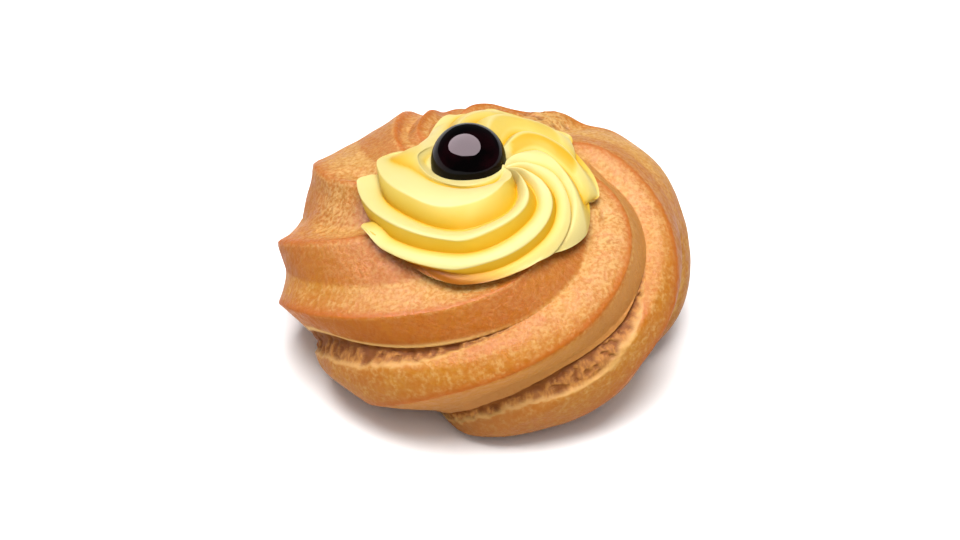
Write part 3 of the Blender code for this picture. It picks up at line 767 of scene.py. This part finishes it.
crust_paint, tree, shader, place = material("baked_crust")
crest_mask, toast_mask, under_mask, torn_mask, hole_mask, lip_mask, blush_mask, knob_mask = (
    mask_of(tree, name) for name in ("crest", "toast", "underface", "torn", "holes", "lip", "blush", "knobs"))
broad = use(tree, mottle, Place=place, Size=0.013, Detail=2.0, From=0.36, To=0.64)
patchy = use(tree, mottle, Place=place, Size=0.0022, Detail=4.0, From=0.38, To=0.64)
speckle = use(tree, mottle, Place=place, Size=0.0009, Detail=3.0, From=0.32, To=0.72)
freckle = use(tree, mottle, Place=place, Size=0.0012, Detail=2.0, From=0.38, To=0.66)
toasted = calc(tree, "MAXIMUM", calc(tree, "MULTIPLY", toast_mask, 0.70), calc(tree, "MULTIPLY", broad, 0.60))
colour = blend(tree, toasted, GOLDEN, ORANGE)
colour = blend(tree, calc(tree, "MULTIPLY", freckle, 0.40), colour, ORANGE)
# Painted shade in part: the underface below each crest is mixed darker, partly browning and partly shade on
# the side that faces down.
under = calc(tree, "MULTIPLY", under_mask, calc(tree, "ADD", 0.55, calc(tree, "MULTIPLY", patchy, 0.25)))
colour = blend(tree, under, colour, BROWNED_AND_SHADED)
browned = calc(tree, "MULTIPLY", crest_mask, calc(tree, "ADD", 0.62, calc(tree, "MULTIPLY", patchy, 0.30)))
colour = blend(tree, browned, colour, EMBER)
pale = calc(tree, "ADD", 0.04, calc(tree, "MULTIPLY", speckle, 0.62))
pale = calc(tree, "MULTIPLY", pale, calc(tree, "ADD", 0.16, calc(tree, "MULTIPLY", patchy, 0.58)))
colour = blend(tree, calc(tree, "MULTIPLY", blush_mask, 0.8), colour, BLUSH)
closed = calc(tree, "MAXIMUM", calc(tree, "MAXIMUM", under_mask, blush_mask), crest_mask)
open_face = calc(tree, "SUBTRACT", 1.0, calc(tree, "MULTIPLY", closed, 0.80))
colour = blend(tree, calc(tree, "MULTIPLY", pale, open_face), colour, STRAW)
colour = blend(tree, calc(tree, "MULTIPLY", knob_mask, calc(tree, "MULTIPLY", speckle, 0.6)), colour, STRAW)
height = add(tree, "SeparateXYZ", {0: place}).outputs[2]
near_top = add(tree, "MapRange", {"Value": height, "From Min": 0.030, "From Max": 0.043},
               interpolation_type="SMOOTHSTEP").outputs[0]
# Painted light: the faces near the top are blended to paler straw, as lit from above, with a painted sheen.
top_light = calc(tree, "MULTIPLY", near_top, calc(tree, "ADD", 0.16, calc(tree, "MULTIPLY", speckle, 0.46)))
top_light = calc(tree, "MULTIPLY", top_light, calc(tree, "SUBTRACT", 1.0, calc(tree, "MULTIPLY", toast_mask, 0.4)))
colour = blend(tree, calc(tree, "MULTIPLY", top_light, open_face), colour, STRAW)
# Darker tan towards the tray: partly the tray's browning, partly painted shade on the low faces.
tray_brown_and_shade = add(tree, "MapRange", {"Value": height, "From Min": 0.026, "From Max": 0.004},
                interpolation_type="SMOOTHSTEP").outputs[0]
colour = blend(tree, calc(tree, "MULTIPLY", tray_brown_and_shade, 0.7), colour, TAN)
tear_tone = use(tree, fibres, Place=place, Width=0.0007, Length=0.0020, From=0.36, To=0.64)
tear_colour = blend(tree, tear_tone, PALE_TEAR, TAN)
colour = blend(tree, calc(tree, "MULTIPLY", torn_mask, 0.85), colour, tear_colour)
colour = blend(tree, calc(tree, "MULTIPLY", lip_mask, 0.75), colour, STRAW)
colour = blend(tree, calc(tree, "MULTIPLY", hole_mask, 0.9), colour, PIT_BROWN)
tree.links.new(colour, shader.inputs["Base Color"])
dull = calc(tree, "ADD", 0.40, calc(tree, "MULTIPLY", calc(tree, "MAXIMUM", patchy, torn_mask), 0.25))
tree.links.new(dull, shader.inputs["Roughness"])
shader.inputs["Specular IOR Level"].default_value = 0.06
shader.inputs["Subsurface Weight"].default_value = 0.15
shader.inputs["Subsurface Radius"].default_value = (1.0, 0.5, 0.25)
shader.inputs["Subsurface Scale"].default_value = 0.0014
rough = use(tree, grain, Place=place, Size=0.0018, Height=0.00032)
fine = use(tree, grain, Place=place, Size=0.0006, Height=0.00012, Normal=rough)
tree.links.new(fine, shader.inputs["Normal"])

# %% [markdown]
# Custard cream is pale and thick, and light goes a little way into it, so its creases glow golden
# instead of going grey. Subsurface scattering does the softening, and the crease mask paints shade on
# top of it: deeper yellow on the shaded faces under each ridge and in the creases, and orange where the
# shade is strongest. The lowest band in front lies in the shadow of the ridge above it and beside the
# browned crust, so its mask paints that shadow amber.

# %% Custard cream
PALE_CREAM, SHADED_CREAM = (0.565, 0.480, 0.190), (0.53, 0.357, 0.006)
CREASE_SHADE_CREAM, AMBER_CREAM = (0.53, 0.205, 0.003), (0.30, 0.095, 0.008)
cream_paint, tree, shader, place = material("custard_cream")
crease_shade_mask = mask_of(tree, "crease")
cloudy = use(tree, mottle, Place=place, Size=0.008, Detail=2.0, From=0.3, To=0.8)
# Painted shade: deeper yellow where the crease mask marks shade, and orange where it is strongest.
depth = calc(tree, "MULTIPLY", calc(tree, "POWER", crease_shade_mask, 1.0), 0.97)
depth = calc(tree, "ADD", depth, calc(tree, "MULTIPLY", cloudy, 0.06))
colour = blend(tree, depth, PALE_CREAM, SHADED_CREAM)
deepest = calc(tree, "POWER", crease_shade_mask, 5.0)
colour = blend(tree, calc(tree, "MULTIPLY", deepest, 0.6), colour, CREASE_SHADE_CREAM)
colour = blend(tree, mask_of(tree, "shadowed"), colour, AMBER_CREAM)
tree.links.new(colour, shader.inputs["Base Color"])
tree.links.new(calc(tree, "ADD", 0.38, calc(tree, "MULTIPLY", cloudy, 0.10)), shader.inputs["Roughness"])
shader.inputs["Subsurface Weight"].default_value = 0.12
shader.inputs["Subsurface Radius"].default_value = (1.0, 0.62, 0.16)
shader.inputs["Subsurface Scale"].default_value = 0.0010
shader.inputs["Specular IOR Level"].default_value = 0.05
silky = use(tree, grain, Place=place, Size=0.0030, Height=0.00010)
tree.links.new(silky, shader.inputs["Normal"])

# %% [markdown]
# The cherry is nearly black. What makes it a cherry is the wet skin: a clear coat gives the sharp
# reflection of the light above, and a trace of plum shows where the skin thins out.

# %% Cherry in syrup
BLACK_PLUM, RED_PLUM = (0.0004, 0.0001, 0.0002), (0.006, 0.0005, 0.0012)
cherry_paint, tree, shader, place = material("cherry_in_syrup")
stain = use(tree, mottle, Place=place, Size=0.006, Detail=3.0, From=0.40, To=0.75)
tree.links.new(blend(tree, stain, BLACK_PLUM, RED_PLUM), shader.inputs["Base Color"])
shader.inputs["Roughness"].default_value = 0.16
shader.inputs["Specular IOR Level"].default_value = 0.0
shader.inputs["Coat Weight"].default_value = 0.35
shader.inputs["Coat Roughness"].default_value = 0.035
shader.inputs["Coat IOR"].default_value = 1.35
skin_normal = use(tree, grain, Place=place, Size=0.0022, Height=0.00006)
tree.links.new(skin_normal, shader.inputs["Normal"])

# %% Give the pieces their materials and bodies
for piece, paint, node, slot in (
    (pastry, crust_paint, "pastry", "crust"),
    (cream, cream_paint, "cream", "cream"),
    (cherry, cherry_paint, "cherry", "cherry"),
):
    piece.data.materials.clear()
    piece.data.materials.append(paint)
    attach(piece, "root")
    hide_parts(node)
    print(piece.name, "stands for", node, "and has", len(piece.data.vertices), "vertices")

# %% [markdown]
# The photograph has a white ground, a tight shadow and one grey reflection on the cherry. A broad sun
# nearly overhead, a little to the camera's side, makes the shadow, and a weak oval softbox in front fills
# the near side. The reflection comes from an oval card that only glossy surfaces see.

# %% Floor and light
floor_mesh = bpy.data.meshes.new("floor")
floor_mesh.from_pydata([(-3, -3, 0), (3, -3, 0), (3, 3, 0), (-3, 3, 0)], [], [(0, 1, 2, 3)])
floor = bpy.data.objects.new("floor", floor_mesh)
bpy.context.scene.collection.objects.link(floor)
floor_paint, tree, shader, place = material("white_ground")
shader.inputs["Base Color"].default_value = (0.93, 0.935, 0.94, 1.0)
shader.inputs["Roughness"].default_value = 0.9
shader.inputs["Specular IOR Level"].default_value = 0.1
floor_mesh.materials.append(floor_paint)


def lamp(name, kind, place, target, power, colour, roll=0, **settings):
    """A light at place, turned towards target, then rolled by some degrees about its own axis."""
    data = bpy.data.lights.new(name, kind)
    data.energy, data.color = power, colour
    for key, value in settings.items():
        setattr(data, key, value)
    made = bpy.data.objects.new(name, data)
    bpy.context.scene.collection.objects.link(made)
    way = np.subtract(target, place)
    way = way / np.linalg.norm(way)
    made.location = place
    made.rotation_euler = (math.acos(-way[2]), 0.0, math.atan2(-way[0], way[1]))
    made.rotation_euler.rotate_axis("Z", math.radians(roll))
    made.visible_camera = False
    return made


SKYLIGHT = (1.0, 0.99, 0.98)
window = lamp("window", "SUN", (-0.03, -0.17, 1.0), (0, 0, 0), 4.3, SKYLIGHT, angle=math.radians(40))
window.visible_glossy = False
oval = dict(shape="ELLIPSE", size=1.7, size_y=1.3)
lamp("softbox", "AREA", (0.05, -0.46, 0.75), (0, 0, 0.03), 5.5, SKYLIGHT, **oval).visible_glossy = False
ROSY = (1.0, 0.80, 0.87)
card = lamp("gloss_card", "AREA", (-0.17, -0.03, 0.90), (0, 0, 0.05), 210.0, ROSY, roll=52, **oval)
card.visible_diffuse = False
world = bpy.data.worlds.new("studio")
world.use_nodes = True
world.node_tree.nodes["Background"].inputs["Color"].default_value = (0.93, 0.95, 1.0, 1.0)
world.node_tree.nodes["Background"].inputs["Strength"].default_value = 0.16
bpy.context.scene.world = world
bpy.context.scene.view_settings.view_transform = "Standard"
